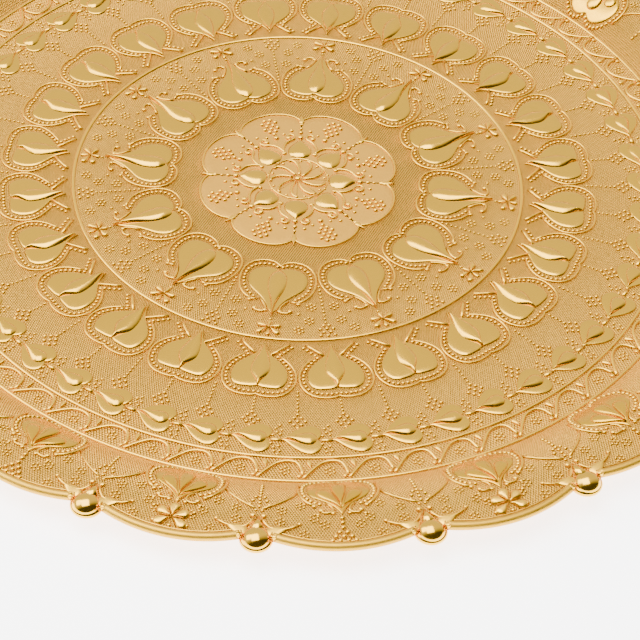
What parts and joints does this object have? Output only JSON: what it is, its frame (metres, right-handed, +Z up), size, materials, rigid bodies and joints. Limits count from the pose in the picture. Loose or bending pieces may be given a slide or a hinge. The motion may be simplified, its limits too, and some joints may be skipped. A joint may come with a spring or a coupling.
{
  "type": "serving tray",
  "caption": "Round shallow brass serving tray with a flat embossed floor, rounded wall and scalloped border with cast drops.",
  "frame": {"origin": "centre of the flat underside that the tray stands on", "axes": "+Z up, square to the floor; -Y towards the front, where a border joint lies 1.8 degrees to the left of the axis"},
  "size_m": [0.3544, 0.3544, 0.0124],
  "materials": {
    "pan_brass": "pressed sheet, polished relief on a fine-hatched satin ground",
    "border_brass": "polished",
    "drop_brass": "polished, cast"
  },
  "bodies": {
    "root": {"tray_pan": "pan_brass", "rim_border_01": "border_brass", "rim_border_02": "border_brass", "rim_border_03": "border_brass", "rim_border_04": "border_brass", "rim_border_05": "border_brass", "rim_border_06": "border_brass", "rim_border_07": "border_brass", "rim_border_08": "border_brass", "rim_border_09": "border_brass", "rim_border_10": "border_brass", "rim_border_11": "border_brass", "rim_border_12": "border_brass", "rim_border_13": "border_brass", "rim_border_14": "border_brass", "rim_border_15": "border_brass", "rim_border_16": "border_brass", "rim_border_17": "border_brass", "rim_border_18": "border_brass", "rim_border_19": "border_brass", "rim_border_20": "border_brass", "rim_drop_01": "drop_brass", "rim_drop_02": "drop_brass", "rim_drop_03": "drop_brass", "rim_drop_04": "drop_brass", "rim_drop_05": "drop_brass", "rim_drop_06": "drop_brass", "rim_drop_07": "drop_brass", "rim_drop_08": "drop_brass", "rim_drop_09": "drop_brass", "rim_drop_10": "drop_brass", "rim_drop_11": "drop_brass", "rim_drop_12": "drop_brass", "rim_drop_13": "drop_brass", "rim_drop_14": "drop_brass", "rim_drop_15": "drop_brass", "rim_drop_16": "drop_brass", "rim_drop_17": "drop_brass", "rim_drop_18": "drop_brass", "rim_drop_19": "drop_brass", "rim_drop_20": "drop_brass"}
  },
  "joints": []
}
